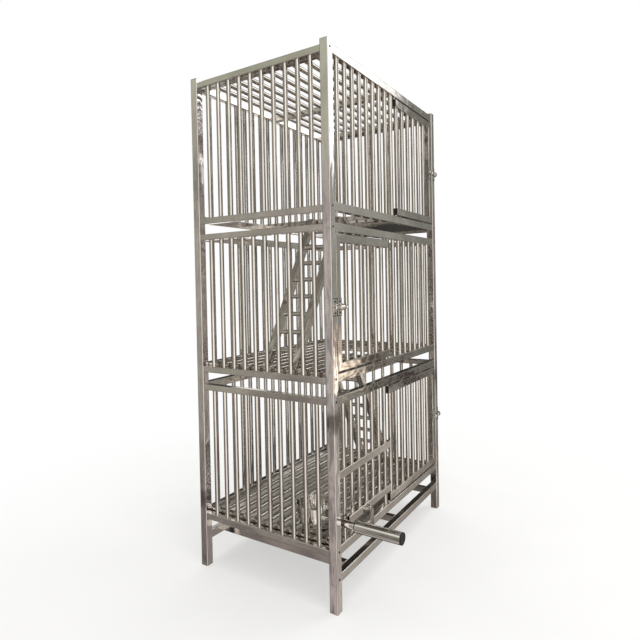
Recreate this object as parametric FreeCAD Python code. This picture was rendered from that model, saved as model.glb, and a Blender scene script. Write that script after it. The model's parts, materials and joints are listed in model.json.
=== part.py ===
"""Three-tier kennel cage: stacked bar-grille modules on four legs.

Millimetres, +Z up, +X to the right along the front, +Y from the front to the back.
The origin is on the floor, at the centre of the whole object's footprint, handle included.
"""
import FreeCAD, Part
import math
import os

from FreeCAD import Vector

os.makedirs("parts", exist_ok=True)

# ---- driving dimensions -------------------------------------------------------------
WIDTH = 930.0            # over the posts, left to right
DEPTH = 590.0            # over the posts, front to back
HEIGHT = 1800.0          # floor to post top
HANDLE_REACH = 200.0     # feeder handle's end in front of the posts

POST = 30.0              # square post
POST_WALL = 1.5
SEAM_LOW = 697.0         # where the bottom module's posts end
SEAM_HIGH = 1240.0       # where the middle module's posts end
CAP = 2.0                # thickness of the plates that close the posts
SLEEVE_LENGTH = 80.0

RAIL_DEPTH = 24.0
RAIL_INSET = 2.0         # rails sit this far behind the posts' outer faces
RAIL_WALL = 1.2
FRONT_RAIL = 28.0        # height of the front and back rails
SIDE_RAIL = 22.0         # height of the side rails
BAR_R = 8.0
BAR_WALL = 1.2
BAR_PLANE = RAIL_INSET + RAIL_DEPTH / 2.0

TIERS = ("bottom", "middle", "top")
LOWER_RAIL_Z = {"bottom": 181.0, "middle": 727.0, "top": 1270.0}
UPPER_RAIL_Z = {"bottom": 655.0, "middle": 1205.0, "top": 1760.0}
SIDE_RAIL_DROP = 4.0     # side rail's underside below the front rail's, at the foot of a tier
SIDE_RAIL_LIFT = 2.0     # side rail's underside above the front rail's, at the head of a tier

SIDE_BARS = 10
SIDE_PITCH = 49.2
BACK_BARS = 16
BACK_PITCH = 51.2

# fixed front bars: distance of the first from the left edge, pitch and count
FIXED_BARS = {"bottom": (77.7, 51.5, 7), "middle": (437.0, 51.6, 9), "top": (74.6, 51.3, 9)}

# doors, measured from the left edge: pivot pin, first bar, bar pitch, bar count, stile's two faces
DOOR_PIN = {"bottom": 416.0, "middle": 412.5, "top": 523.0}
DOOR_BARS = {"bottom": (437.0, 55.4, 8), "middle": (113.7, 53.6, 6), "top": (537.7, 57.0, 6)}
DOOR_STILE = {"bottom": (869.0, 895.0), "middle": (35.0, 61.0), "top": (869.0, 895.0)}
DOOR_GAP = 5.0           # between a door rail and the frame rail beside it
DOOR_LOWER_RAIL = 28.0
DOOR_UPPER_RAIL = 29.0
DOOR_RAIL_END = 7.5      # door rail past the pin
PIN_R = 4.0
PIN_CLEARANCE = 0.05
BUSH_R = 7.0
WASHER_GAP = 0.2

# latches: distances along the bolt from the post's centre line
LATCH_Z = {"bottom": 434.0, "middle": 966.0, "top": 1526.0}
KEEPER_WIDTH = 24.0
LATCH_HEIGHT = 52.0
LATCH_PLATE = 2.0
CASE_START = 22.0        # guide block's near side
CASE_WIDTH = 22.0
BLOCK_HALF = 11.0
BOLT_R = 4.0
BOLT_AXIS = -7.0         # in front of the posts
BLOCK_FRONT = -14.0
BOLT_TIP = 15.0
BOLT_TRAVEL = 12.0
KNOB_R = 7.0
KNOB_LENGTH = 10.0

# feeding place at the left of the bottom tier, measured from the left edge
FEED_UPPER = (30.0, 414.0, 417.0, 444.0)     # from, to, underside, top
FEED_LOWER = (90.0, 414.0, 252.0, 278.0)
HOOK_FROM = 208.0
HOOK_WIDTH = 24.0
HOOK_SHEET = 3.0
HOOK_TIP_Z = 197.0
HOOK_PIN_R = 2.5
HOOK_PIN_Y = -5.0
HOOK_PIN_Z = 262.0

TUBE_X = 54.0            # feeder handle's axis
TUBE_Z = 271.0
TUBE_R = 19.0
TUBE_WALL = 1.5
TUBE_START = -42.0       # main tube begins this far in front of the posts
NECK_R = 13.0
RING_R = 16.0
RING_LENGTH = 4.0
PLUG_LIP = 5.0
BOWL_X = 97.0
BOWL_Y = 136.0
BOWL_R = 70.0
BOWL_FOOT_R = 42.0
BOWL_BASE_Z = 209.3
BOWL_TOP_Z = 297.0
BOWL_WALL = 1.2

BASE_RAIL_Z = 93.0
RUNNER_X = (91.0, 480.0, 815.0)
RUNNER_WIDTH = 24.0

FLOOR_FRAME = 22.0       # width of the floor's side members
FLOOR_BAR_DROP = 8.0     # floor bars' axis below the lower rail's top
PAN_SHEET = 1.2
PAN_LIFT = 2.0           # pan above the lower rail's underside
CROSS_WIDTH = 24.0
HATCH_FLAT = 6.0         # flats round a ladder's way through the floor
HATCH_BARS = (1, 6)      # the floor bars that bound the hatch, counted from the front
HATCH_LENGTH = 250.0

ROOF_FRAME = 22.0
ROOF_CROSS_X = 500.0

LADDER_ANGLE = 60.0
LADDER_Y = (174.0, 320.0)
STRINGER = 25.0          # square tube
STRINGER_WALL = 1.2
RUNG_STEP = 62.0
UPPER_LADDER_FOOT = 45.0
LOWER_LADDER_FOOT = 766.0

SCREW_HEAD_R = 4.0
SCREW_HEAD = 2.0

# ---- derived places -----------------------------------------------------------------
LEFT = -WIDTH / 2.0
RIGHT = WIDTH / 2.0
FRONT = (HANDLE_REACH - DEPTH) / 2.0
BACK = FRONT + DEPTH
POST_BASE = CAP
POST_SPANS = {
    "bottom": (POST_BASE, SEAM_LOW),
    "middle": (SEAM_LOW, SEAM_HIGH),
    "top": (SEAM_HIGH, HEIGHT - CAP),
}
CORNERS = {
    "front_left": (LEFT, FRONT),
    "front_right": (RIGHT - POST, FRONT),
    "back_left": (LEFT, BACK - POST),
    "back_right": (RIGHT - POST, BACK - POST),
}
INNER_LEFT = LEFT + POST
INNER_RIGHT = RIGHT - POST
INNER_FRONT = FRONT + POST
INNER_BACK = BACK - POST
RAIL_FRONT_Y = FRONT + RAIL_INSET
RAIL_BACK_Y = BACK - RAIL_INSET - RAIL_DEPTH
FRONT_BAR_Y = FRONT + BAR_PLANE
BACK_BAR_Y = BACK - BAR_PLANE
LADDER_LEVEL = STRINGER / math.sin(math.radians(LADDER_ANGLE))


def ladder_run(tier):
    """Level distance a ladder covers from the floor below to the top of a tier's floor."""
    below = TIERS[TIERS.index(tier) - 1]
    rise = LOWER_RAIL_Z[tier] - LOWER_RAIL_Z[below]
    return rise / math.tan(math.radians(LADDER_ANGLE))


# the upper ladder ends against the top floor's left edge and the bay beside it stays open;
# the lower ladder ends against the left edge of a hatch
UPPER_LANDING = UPPER_LADDER_FOOT + ladder_run("top") + LADDER_LEVEL
LOWER_LANDING = LOWER_LADDER_FOOT - ladder_run("middle")
HATCH = {
    "middle": (LOWER_LANDING, LOWER_LANDING + HATCH_LENGTH),
}


def across(distance):
    """X of a place given from the cage's left edge."""
    return LEFT + distance


def inward(distance):
    """Y of a place given from the posts' front faces."""
    return FRONT + distance


# ---- shapes -------------------------------------------------------------------------
def box(x0, x1, y0, y1, z0, z1):
    return Part.makeBox(x1 - x0, y1 - y0, z1 - z0, Vector(x0, y0, z0))


def hollow_box(x0, x1, y0, y1, z0, z1, along, wall):
    """Square tube: a box bored right through along X, Y or Z."""
    low = [x0, y0, z0]
    high = [x1, y1, z1]
    for index, name in enumerate("xyz"):
        if name != along:
            low[index] += wall
            high[index] -= wall
    core = box(low[0], high[0], low[1], high[1], low[2], high[2])
    return box(x0, x1, y0, y1, z0, z1).cut(core)


def cylinder(start, direction, radius, length):
    return Part.makeCylinder(radius, length, Vector(*start), Vector(*direction))


def round_tube(start, direction, radius, wall, length):
    outer = cylinder(start, direction, radius, length)
    return outer.cut(cylinder(start, direction, radius - wall, length))


def upright_bar(x, y, z0, z1):
    return round_tube((x, y, z0), (0, 0, 1), BAR_R, BAR_WALL, z1 - z0)


def level_bar(x0, x1, y, z):
    return round_tube((x0, y, z), (1, 0, 0), BAR_R, BAR_WALL, x1 - x0)


def prism(points, y0, y1):
    """Solid from an outline in the XZ plane, from y0 to y1."""
    corners = [Vector(x, y0, z) for x, z in points]
    face = Part.Face(Part.makePolygon(corners + corners[:1]))
    return face.extrude(Vector(0, y1 - y0, 0))


def write(name, solids):
    shape = Part.makeCompound(solids) if len(solids) > 1 else solids[0]
    shape.exportStep("parts/%s.step" % name)


def centred_row(middle, count, pitch):
    return [middle + (index - (count - 1) / 2.0) * pitch for index in range(count)]


def row_from(first, pitch, count):
    return [first + index * pitch for index in range(count)]


# ---- legs and corner posts ----------------------------------------------------------
def posts():
    for tier, (z0, z1) in POST_SPANS.items():
        for corner, (x, y) in CORNERS.items():
            tube = hollow_box(x, x + POST, y, y + POST, z0, z1, "z", POST_WALL)
            write("post_%s_%s" % (corner, tier), [tube])


def post_ends(name, z0):
    plates = [box(x, x + POST, y, y + POST, z0, z0 + CAP) for x, y in CORNERS.values()]
    write(name, plates)


def post_sleeves():
    """Short inner tubes that line up the stacked modules."""
    gap = POST_WALL + 0.1
    sleeves = []
    for seam in (SEAM_LOW, SEAM_HIGH):
        for x, y in CORNERS.values():
            sleeves.append(hollow_box(x + gap, x + POST - gap, y + gap, y + POST - gap,
                                      seam - SLEEVE_LENGTH / 2.0, seam + SLEEVE_LENGTH / 2.0,
                                      "z", POST_WALL))
    write("post_sleeves", sleeves)


# ---- fixed grilles ------------------------------------------------------------------
def side_rail_spans(tier):
    low = LOWER_RAIL_Z[tier] - SIDE_RAIL_DROP
    high = UPPER_RAIL_Z[tier] + SIDE_RAIL_LIFT
    return (low, low + SIDE_RAIL), (high, high + SIDE_RAIL)


def side_panel(tier, side):
    x0 = LEFT + RAIL_INSET if side == "left" else RIGHT - RAIL_INSET - RAIL_DEPTH
    x1 = x0 + RAIL_DEPTH
    spans = side_rail_spans(tier)
    pieces = [hollow_box(x0, x1, INNER_FRONT, INNER_BACK, z0, z1, "y", RAIL_WALL)
              for z0, z1 in spans]
    middle = (FRONT + BACK) / 2.0
    for y in centred_row(middle, SIDE_BARS, SIDE_PITCH):
        pieces.append(upright_bar((x0 + x1) / 2.0, y, spans[0][1], spans[1][0]))
    write("%s_grille_%s" % (side, tier), pieces)


def long_rail(y0, z0, height):
    return hollow_box(INNER_LEFT, INNER_RIGHT, y0, y0 + RAIL_DEPTH, z0, z0 + height, "x", RAIL_WALL)


def back_panel(tier):
    low = LOWER_RAIL_Z[tier]
    high = UPPER_RAIL_Z[tier]
    pieces = [long_rail(RAIL_BACK_Y, z, FRONT_RAIL) for z in (low, high)]
    for x in centred_row(0.0, BACK_BARS, BACK_PITCH):
        pieces.append(upright_bar(x, BACK_BAR_Y, low + FRONT_RAIL, high))
    write("back_grille_%s" % tier, pieces)


def front_rails(tier):
    rails = []
    pin_hole_x = across(DOOR_PIN[tier])
    for z in (LOWER_RAIL_Z[tier], UPPER_RAIL_Z[tier]):
        hole = cylinder((pin_hole_x, FRONT_BAR_Y, z), (0, 0, 1), PIN_R, FRONT_RAIL)
        rails.append(long_rail(RAIL_FRONT_Y, z, FRONT_RAIL).cut(hole))
    write("front_rails_%s" % tier, rails)


def front_bars(tier):
    bottom = LOWER_RAIL_Z[tier] + FRONT_RAIL
    top = UPPER_RAIL_Z[tier]
    places = [across(distance) for distance in row_from(*FIXED_BARS[tier])]
    bars = []
    for index, x in enumerate(places):
        for z0, z1 in front_bar_spans(tier, index, len(places), bottom, top):
            bars.append(upright_bar(x, FRONT_BAR_Y, z0, z1))
    write("front_bars_%s" % tier, bars)


def front_bar_spans(tier, index, count, bottom, top):
    """The bottom tier's bars are broken by the two feed rails; the others run straight up."""
    if tier != "bottom":
        return [(bottom, top)]
    feed_foot, feed_head = FEED_UPPER[2], FEED_UPPER[3]
    lower_foot, lower_head = FEED_LOWER[2], FEED_LOWER[3]
    spans = [(feed_head, top)]
    if index == 0:
        spans.append((bottom, feed_foot))
    else:
        spans.append((lower_head, feed_foot))
    if index == count - 1:
        spans.append((bottom, lower_foot))
    return spans


# ---- doors --------------------------------------------------------------------------
def door_span(tier):
    bottom = LOWER_RAIL_Z[tier] + FRONT_RAIL + DOOR_GAP
    top = UPPER_RAIL_Z[tier] - DOOR_GAP
    return bottom, top


def door_side(tier):
    """+1 when the door opens from its left hinge, -1 when the hinge is on the right."""
    return 1.0 if DOOR_STILE[tier][0] > DOOR_PIN[tier] else -1.0


def door(tier):
    bottom, top = door_span(tier)
    side = door_side(tier)
    pin_x = across(DOOR_PIN[tier])
    hinge_end = pin_x - side * DOOR_RAIL_END
    near, far = sorted(DOOR_STILE[tier], key=lambda distance: abs(distance - DOOR_PIN[tier]))
    stile_in, stile_out = across(near), across(far)
    x0, x1 = sorted((hinge_end, stile_out))
    s0, s1 = sorted((stile_in, stile_out))
    y0, y1 = RAIL_FRONT_Y, RAIL_FRONT_Y + RAIL_DEPTH
    lower_top = bottom + DOOR_LOWER_RAIL
    upper_foot = top - DOOR_UPPER_RAIL

    lower = hollow_box(x0, x1, y0, y1, bottom, lower_top, "x", RAIL_WALL)
    upper = hollow_box(x0, x1, y0, y1, upper_foot, top, "x", RAIL_WALL)
    stile = hollow_box(s0, s1, y0, y1, bottom, top, "z", RAIL_WALL)

    # lock-side corners are mitred: the stile keeps the outer triangle of each corner
    lower_corner = prism([(stile_out, bottom), (stile_in, lower_top), (stile_out, lower_top)], y0, y1)
    upper_corner = prism([(stile_out, top), (stile_in, upper_foot), (stile_out, upper_foot)], y0, y1)
    lower_rest = prism([(stile_out, bottom), (stile_in, bottom), (stile_in, lower_top)], y0, y1)
    upper_rest = prism([(stile_out, top), (stile_in, top), (stile_in, upper_foot)], y0, y1)
    lower = lower.cut(lower_corner)
    upper = upper.cut(upper_corner)
    stile = stile.cut(lower_rest).cut(upper_rest)

    pin_hole = cylinder((pin_x, FRONT_BAR_Y, bottom), (0, 0, 1), PIN_R + PIN_CLEARANCE, top - bottom)
    bushes = [
        cylinder((pin_x, FRONT_BAR_Y, z0 + RAIL_WALL), (0, 0, 1), BUSH_R, z1 - z0 - 2.0 * RAIL_WALL)
        for z0, z1 in ((bottom, lower_top), (upper_foot, top))
    ]
    pieces = [lower.cut(pin_hole), upper.cut(pin_hole), stile] + [bush.cut(pin_hole) for bush in bushes]
    for distance in row_from(*DOOR_BARS[tier]):
        pieces.append(upright_bar(across(distance), FRONT_BAR_Y, lower_top, upper_foot))
    write("door_%s" % tier, pieces)


def hinge_pins():
    """Two pins a door, each with the washer that keeps the door off the frame rail."""
    pieces = []
    for tier in TIERS:
        bottom, top = door_span(tier)
        x = across(DOOR_PIN[tier])
        grip = FRONT_RAIL / 2.0
        reach = DOOR_UPPER_RAIL - 4.0
        washer = DOOR_GAP - WASHER_GAP
        foot = cylinder((x, FRONT_BAR_Y, bottom - DOOR_GAP - grip), (0, 0, 1), PIN_R,
                        grip + DOOR_GAP + reach)
        head = cylinder((x, FRONT_BAR_Y, top - reach), (0, 0, 1), PIN_R, reach + DOOR_GAP + grip)
        foot_washer = cylinder((x, FRONT_BAR_Y, bottom - DOOR_GAP), (0, 0, 1), BUSH_R, washer)
        head_washer = cylinder((x, FRONT_BAR_Y, top + WASHER_GAP), (0, 0, 1), BUSH_R, washer)
        pieces.append(foot.fuse(foot_washer).removeSplitter())
        pieces.append(head.fuse(head_washer).removeSplitter())
    write("hinge_pins", pieces)


# ---- latches ------------------------------------------------------------------------
def latch_frame(tier):
    """Centre of the post that carries the keeper, and the way from it to the stile."""
    side = -door_side(tier)
    post_centre = POST / 2.0 if side > 0 else WIDTH - POST / 2.0
    return across(post_centre), side


def span_from(origin, side, start, length):
    ends = (origin + side * start, origin + side * (start + length))
    return min(ends), max(ends)


def keeper(tier):
    x, side = latch_frame(tier)
    z = LATCH_Z[tier]
    x0, x1 = span_from(x, side, -KEEPER_WIDTH / 2.0, KEEPER_WIDTH)
    plate = box(x0, x1, inward(-LATCH_PLATE), inward(0), z - LATCH_HEIGHT / 2.0, z + LATCH_HEIGHT / 2.0)
    block = box(x0 + 2.0, x1 - 2.0, inward(BLOCK_FRONT), inward(-LATCH_PLATE), z - BLOCK_HALF, z + BLOCK_HALF)
    bore = cylinder((x0, inward(BOLT_AXIS), z), (1, 0, 0), BOLT_R + 0.4, KEEPER_WIDTH)
    return plate.fuse(block).removeSplitter().cut(bore)


def latch_case(tier):
    x, side = latch_frame(tier)
    z = LATCH_Z[tier]
    x0, x1 = span_from(x, side, CASE_START, CASE_WIDTH)
    face = RAIL_INSET
    plate = box(x0 - 1.0, x1 + 1.0, inward(face - LATCH_PLATE), inward(face),
                z - LATCH_HEIGHT / 2.0, z + LATCH_HEIGHT / 2.0)
    block = box(x0, x1, inward(BLOCK_FRONT), inward(face - LATCH_PLATE), z - BLOCK_HALF, z + BLOCK_HALF)
    bore = cylinder((x0 - 1.0, inward(BOLT_AXIS), z), (1, 0, 0), BOLT_R + PIN_CLEARANCE, CASE_WIDTH + 2.0)
    write("latch_case_%s" % tier, [plate.fuse(block).removeSplitter().cut(bore)])


def latch_bolt(tier):
    x, side = latch_frame(tier)
    z = LATCH_Z[tier]
    knob_start = CASE_START + CASE_WIDTH + BOLT_TRAVEL + 0.5
    r0, r1 = span_from(x, side, BOLT_TIP, knob_start - BOLT_TIP)
    k0, k1 = span_from(x, side, knob_start, KNOB_LENGTH)
    rod = cylinder((r0, inward(BOLT_AXIS), z), (1, 0, 0), BOLT_R, r1 - r0)
    knob = cylinder((k0, inward(BOLT_AXIS), z), (1, 0, 0), KNOB_R, k1 - k0)
    knob = knob.makeFillet(2.5, knob.Edges)
    write("latch_bolt_%s" % tier, [rod.fuse(knob).removeSplitter()])


# ---- feeding place ------------------------------------------------------------------
def feed_rails():
    rails = []
    for start, end, z0, z1 in (FEED_UPPER, FEED_LOWER):
        rails.append(hollow_box(across(start), across(end), RAIL_FRONT_Y, RAIL_FRONT_Y + RAIL_DEPTH,
                                z0, z1, "x", RAIL_WALL))
    write("feed_rails", rails)


def hook_pin():
    """Pin that the hook hangs from, with the two lugs that carry it on the lower feed rail."""
    x0 = across(HOOK_FROM - 6.0)
    x1 = across(HOOK_FROM + HOOK_WIDTH + 6.0)
    pin = cylinder((x0, inward(HOOK_PIN_Y), HOOK_PIN_Z), (1, 0, 0), HOOK_PIN_R, x1 - x0)
    for lug_x in (x0, x1 - 4.0):
        lug = box(lug_x, lug_x + 4.0, inward(HOOK_PIN_Y - 4.0), RAIL_FRONT_Y, HOOK_PIN_Z - 4.0, HOOK_PIN_Z + 4.0)
        pin = pin.fuse(lug)
    write("hook_pin", [pin.removeSplitter()])


def feed_hook():
    """Bent strip: an eye on the pin, a short step out, and a long leg down over the rail."""
    x0 = across(HOOK_FROM)
    eye_y = inward(HOOK_PIN_Y)
    eye_r = HOOK_PIN_R + HOOK_SHEET
    leg_y = inward(HOOK_PIN_Y - 9.0)
    eye = cylinder((x0, eye_y, HOOK_PIN_Z), (1, 0, 0), eye_r, HOOK_WIDTH)
    step = box(x0, x0 + HOOK_WIDTH, leg_y, eye_y, HOOK_PIN_Z - eye_r, HOOK_PIN_Z - eye_r + HOOK_SHEET)
    leg = box(x0, x0 + HOOK_WIDTH, leg_y, leg_y + HOOK_SHEET, HOOK_TIP_Z, HOOK_PIN_Z - eye_r + HOOK_SHEET)
    bore = cylinder((x0, eye_y, HOOK_PIN_Z), (1, 0, 0), HOOK_PIN_R + PIN_CLEARANCE, HOOK_WIDTH)
    write("feed_hook", [eye.fuse(step).fuse(leg).removeSplitter().cut(bore)])


def bowl_radius(z):
    """Outer radius of the bowl at a height: a quarter-ellipse flare from foot to rim."""
    t = (z - BOWL_BASE_Z) / (BOWL_TOP_Z - BOWL_BASE_Z)
    return BOWL_FOOT_R + (BOWL_R - BOWL_FOOT_R) * math.sqrt(1.0 - (1.0 - t) ** 2)


def revolved_bowl(inset):
    """Solid of revolution of the bowl's outside, drawn inwards by inset."""
    steps = 12
    foot = BOWL_BASE_Z + inset
    heights = [foot + (BOWL_TOP_Z - foot) * index / steps for index in range(steps + 1)]
    flare = [Vector(bowl_radius(z) - inset, 0, z) for z in heights]
    side = Part.BSplineCurve()
    side.interpolate(flare)
    foot_edge = Part.makeLine(Vector(0, 0, foot), flare[0])
    rim_edge = Part.makeLine(flare[-1], Vector(0, 0, BOWL_TOP_Z))
    axis_edge = Part.makeLine(Vector(0, 0, BOWL_TOP_Z), Vector(0, 0, foot))
    face = Part.Face(Part.Wire([foot_edge, side.toShape(), rim_edge, axis_edge]))
    solid = face.revolve(Vector(0, 0, 0), Vector(0, 0, 1), 360)
    solid.translate(Vector(across(BOWL_X), inward(BOWL_Y), 0))
    return solid


def feed_bowl():
    write("feed_bowl", [revolved_bowl(0.0).cut(revolved_bowl(BOWL_WALL))])


def handle():
    """Neck, ring, main tube and end plug of the feeder's handle, front to back along Y."""
    x = across(TUBE_X)
    back_end = BOWL_Y
    neck = cylinder((x, inward(TUBE_START + RING_LENGTH), TUBE_Z), (0, 1, 0), NECK_R,
                    back_end - TUBE_START - RING_LENGTH)
    neck = neck.cut(revolved_bowl(0.0))
    neck = max(neck.Solids, key=lambda solid: solid.Volume)
    ring = cylinder((x, inward(TUBE_START), TUBE_Z), (0, 1, 0), RING_R, RING_LENGTH)
    tube_end = -HANDLE_REACH + PLUG_LIP
    tube = round_tube((x, inward(tube_end), TUBE_Z), (0, 1, 0), TUBE_R, TUBE_WALL, TUBE_START - tube_end)
    lip = cylinder((x, inward(-HANDLE_REACH), TUBE_Z), (0, 1, 0), TUBE_R, PLUG_LIP)
    lip = lip.makeFillet(1.5, [edge for edge in lip.Edges if edge.BoundBox.YMax < inward(tube_end) - 1.0])
    stem = cylinder((x, inward(tube_end), TUBE_Z), (0, 1, 0), TUBE_R - TUBE_WALL, 14.0)
    write("handle_neck", [neck])
    write("handle_ring", [ring])
    write("handle_tube", [tube])
    write("handle_plug", [lip.fuse(stem).removeSplitter()])


# ---- floors, roof and base ----------------------------------------------------------
def floor_bar_rows():
    return centred_row((FRONT + BACK) / 2.0, SIDE_BARS, SIDE_PITCH)


def panel_ends(width):
    """The two faces, left and right, between which a floor's or the roof's bars run."""
    return INNER_LEFT + 1.0 + width, INNER_RIGHT - 1.0 - width


def end_members(width, z0, z1):
    y0 = RAIL_FRONT_Y + RAIL_DEPTH
    y1 = RAIL_BACK_Y
    left, right = panel_ends(width)
    return [hollow_box(left - width, left, y0, y1, z0, z1, "y", RAIL_WALL),
            hollow_box(right, right + width, y0, y1, z0, z1, "y", RAIL_WALL)]


def hatch_box(tier, z0, z1, margin=0.0):
    """Block of space over a ladder, from bar to bar and from flat to flat."""
    rows = floor_bar_rows()
    x0, x1 = (across(distance) for distance in HATCH[tier])
    y0 = rows[HATCH_BARS[0]] + BAR_R
    y1 = rows[HATCH_BARS[1]] - BAR_R
    return box(x0 + margin, x1 - margin, y0 + margin, y1 - margin, z0, z1)


def floor_ends(tier):
    """The two faces, left and right, between which a floor's bars run."""
    left, right = panel_ends(FLOOR_FRAME)
    if tier == "top":
        left = across(UPPER_LANDING) + HATCH_FLAT
    return left, right


def floor_grid(tier):
    top = LOWER_RAIL_Z[tier] + FRONT_RAIL
    bar_z = top - FLOOR_BAR_DROP
    left, right = floor_ends(tier)
    pieces = end_members(FLOOR_FRAME, bar_z - BAR_R - 10.0, top)
    if tier == "top":
        pieces[0] = box(left - HATCH_FLAT, left, RAIL_FRONT_Y + RAIL_DEPTH, RAIL_BACK_Y, bar_z - BAR_R, top)
    rows = floor_bar_rows()
    for index, y in enumerate(rows):
        if tier in HATCH and HATCH_BARS[0] < index < HATCH_BARS[1]:
            x0, x1 = (across(distance) for distance in HATCH[tier])
            pieces.append(level_bar(left, x0 - HATCH_FLAT, y, bar_z))
            pieces.append(level_bar(x1 + HATCH_FLAT, right, y, bar_z))
        else:
            pieces.append(level_bar(left, right, y, bar_z))
    if tier in HATCH:
        y0 = rows[HATCH_BARS[0]] + BAR_R
        y1 = rows[HATCH_BARS[1]] - BAR_R
        for flat_x in (across(HATCH[tier][0]) - HATCH_FLAT, across(HATCH[tier][1])):
            pieces.append(box(flat_x, flat_x + HATCH_FLAT, y0, y1, bar_z - BAR_R, top))
    write("floor_grid_%s" % tier, pieces)


def floor_pan(tier):
    """Sheet pan under the floor bars, its edges turned up against the frame."""
    z0 = LOWER_RAIL_Z[tier] + PAN_LIFT
    bar_foot = LOWER_RAIL_Z[tier] + FRONT_RAIL - FLOOR_BAR_DROP - BAR_R
    y0 = RAIL_FRONT_Y + RAIL_DEPTH
    y1 = RAIL_BACK_Y
    x0, x1 = floor_ends(tier)
    rim_top = bar_foot - 0.5
    outer = box(x0, x1, y0, y1, z0, rim_top)
    inner = box(x0 + PAN_SHEET, x1 - PAN_SHEET, y0 + PAN_SHEET, y1 - PAN_SHEET, z0 + PAN_SHEET, rim_top)
    pan = outer.cut(inner)
    if tier in HATCH:
        collar = hatch_box(tier, z0, rim_top, -PAN_SHEET)
        pan = pan.fuse(collar).removeSplitter().cut(hatch_box(tier, z0, rim_top))
    write("floor_pan_%s" % tier, [pan])


def roof_grid():
    top = UPPER_RAIL_Z["top"] + FRONT_RAIL
    z0 = top - 2.0 - ROOF_FRAME
    pieces = end_members(ROOF_FRAME, z0, top - 2.0)
    left, right = panel_ends(ROOF_FRAME)
    bar_z = z0 + ROOF_FRAME / 2.0
    cross_x = across(ROOF_CROSS_X)
    half = CROSS_WIDTH / 2.0
    pieces.append(hollow_box(cross_x - half, cross_x + half, RAIL_FRONT_Y + RAIL_DEPTH, RAIL_BACK_Y,
                             z0, top - 2.0, "y", RAIL_WALL))
    for y in floor_bar_rows():
        pieces.append(level_bar(left, cross_x - half, y, bar_z))
        pieces.append(level_bar(cross_x + half, right, y, bar_z))
    write("roof_grid", pieces)


def base_frame():
    rails = [long_rail(y, BASE_RAIL_Z, FRONT_RAIL) for y in (RAIL_FRONT_Y, RAIL_BACK_Y)]
    for distance in RUNNER_X:
        x0 = across(distance)
        rails.append(hollow_box(x0, x0 + RUNNER_WIDTH, RAIL_FRONT_Y + RAIL_DEPTH, RAIL_BACK_Y,
                                BASE_RAIL_Z + 4.0, BASE_RAIL_Z + FRONT_RAIL, "y", RAIL_WALL))
    write("base_frame", rails)


# ---- ladders ------------------------------------------------------------------------
def stringer(foot, z0, z1, run, y0, y1):
    """Slanted square tube, closed at its head."""
    inset = STRINGER_WALL / math.sin(math.radians(LADDER_ANGLE))
    inner_top = z1 - STRINGER_WALL
    inner_run = run * (inner_top - z0) / (z1 - z0)
    outer = [(foot, z0), (foot + LADDER_LEVEL, z0), (foot + run + LADDER_LEVEL, z1), (foot + run, z1)]
    inner = [(foot + inset, z0), (foot + LADDER_LEVEL - inset, z0),
             (foot + inner_run + LADDER_LEVEL - inset, inner_top), (foot + inner_run + inset, inner_top)]
    return prism(outer, y0, y1).cut(prism(inner, y0 + STRINGER_WALL, y1 - STRINGER_WALL))


def ladder(name, foot, lean, tier):
    """Two slanted square tubes with round rungs; lean is +1 when it climbs towards +X."""
    below = TIERS[TIERS.index(tier) - 1]
    z0 = LOWER_RAIL_Z[below] + FRONT_RAIL
    z1 = LOWER_RAIL_Z[tier] + FRONT_RAIL
    run = lean * ladder_run(tier)
    x0 = across(foot)
    low_y, high_y = (inward(distance) for distance in LADDER_Y)
    pieces = [stringer(x0, z0, z1, run, low_y, low_y + STRINGER),
              stringer(x0, z0, z1, run, high_y - STRINGER, high_y)]
    clear = high_y - low_y - 2.0 * STRINGER
    for index in range(1, int((z1 - z0) / RUNG_STEP) + 1):
        z = z0 + index * RUNG_STEP - BAR_R
        middle = x0 + LADDER_LEVEL / 2.0 + run * (z - z0) / (z1 - z0)
        pieces.append(round_tube((middle, low_y + STRINGER, z), (0, 1, 0), BAR_R, BAR_WALL, clear))
    write(name, pieces)


# ---- fasteners ----------------------------------------------------------------------
def panel_screws():
    """Round heads on the front posts where the front rails are held."""
    heads = []
    levels = [BASE_RAIL_Z] + [table[tier] for tier in TIERS for table in (LOWER_RAIL_Z, UPPER_RAIL_Z)]
    for level in levels:
        z = level + FRONT_RAIL / 2.0
        for x in (LEFT + POST / 2.0, RIGHT - POST / 2.0):
            heads.append(cylinder((x, FRONT, z), (0, -1, 0), SCREW_HEAD_R, SCREW_HEAD))
    write("panel_screws", heads)


posts()
post_ends("foot_caps", 0.0)
post_ends("post_caps", HEIGHT - CAP)
post_sleeves()
for tier_name in TIERS:
    side_panel(tier_name, "left")
    side_panel(tier_name, "right")
    back_panel(tier_name)
    front_rails(tier_name)
    front_bars(tier_name)
    door(tier_name)
    latch_case(tier_name)
    latch_bolt(tier_name)
    floor_grid(tier_name)
    floor_pan(tier_name)
hinge_pins()
write("latch_keepers", [keeper(tier_name) for tier_name in TIERS])
feed_rails()
hook_pin()
feed_hook()
feed_bowl()
handle()
roof_grid()
base_frame()
ladder("upper_ladder", UPPER_LADDER_FOOT, 1.0, "top")
ladder("lower_ladder", LOWER_LADDER_FOOT, -1.0, "middle")
panel_screws()
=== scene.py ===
"""Kennel cage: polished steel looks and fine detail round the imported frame. Metres, +Z up."""
import json
import math

import bmesh
import bpy
from mathutils import Matrix, Vector


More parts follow.
